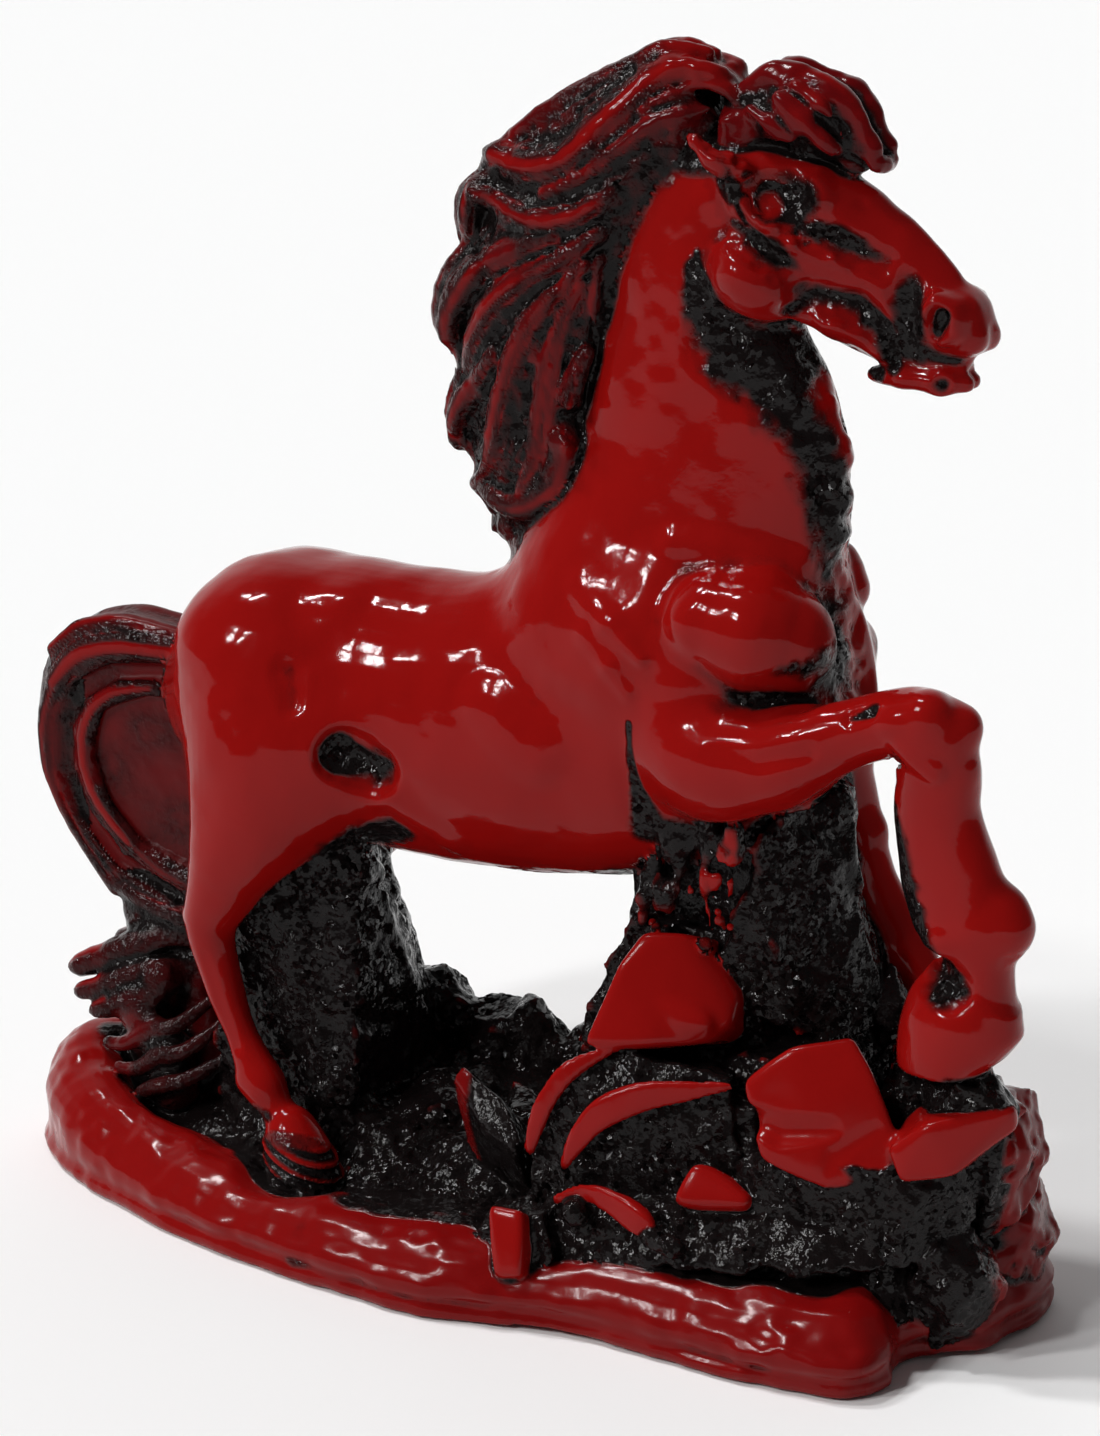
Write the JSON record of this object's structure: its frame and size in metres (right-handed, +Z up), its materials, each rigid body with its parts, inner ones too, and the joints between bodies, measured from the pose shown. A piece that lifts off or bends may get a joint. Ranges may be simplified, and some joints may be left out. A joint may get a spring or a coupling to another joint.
{
  "type": "horse statue",
  "caption": "Prancing horse statue in glossy red cast resin with black antiquing, one foreleg raised, on an oval rock plinth that stands on a flat base.",
  "frame": {"origin": "middle of the statue's box, on the table under the felt", "axes": "+X the way the horse faces, +Y to the horse's left, +Z up"},
  "size_m": [0.144, 0.0558, 0.1498],
  "materials": {
    "red_lacquer": "gloss",
    "dark_lacquer": "gloss",
    "black_wash": "gloss",
    "felt": "matte",
    "steel": "satin"
  },
  "bodies": {
    "root": {"plinth": "red_lacquer", "felt_pad": "felt", "front_outcrop": "red_lacquer", "rock_pillar": "black_wash", "rear_rocks": "black_wash", "torso": "red_lacquer", "neck": "red_lacquer", "head": "red_lacquer", "mane": "dark_lacquer", "forelock": "dark_lacquer", "tail": "dark_lacquer", "right_foreleg": "red_lacquer", "left_foreleg": "red_lacquer", "right_hind_leg": "red_lacquer", "left_hind_leg": "red_lacquer", "neck_dowel": "steel", "head_dowel": "steel", "upper_mane_pin": "steel", "lower_mane_pin": "steel", "forelock_pin": "steel", "tail_dowel": "steel", "right_shoulder_pin": "steel", "left_shoulder_pin": "steel", "right_hip_pin": "steel", "left_hip_pin": "steel", "right_fore_hoof_pin": "steel", "left_fore_hoof_pin": "steel", "right_hind_hoof_pin": "steel", "left_hind_hoof_pin": "steel", "pillar_dowel": "steel", "left_outcrop_pin": "steel", "right_outcrop_pin": "steel", "rear_rock_pin": "steel"}
  },
  "joints": []
}
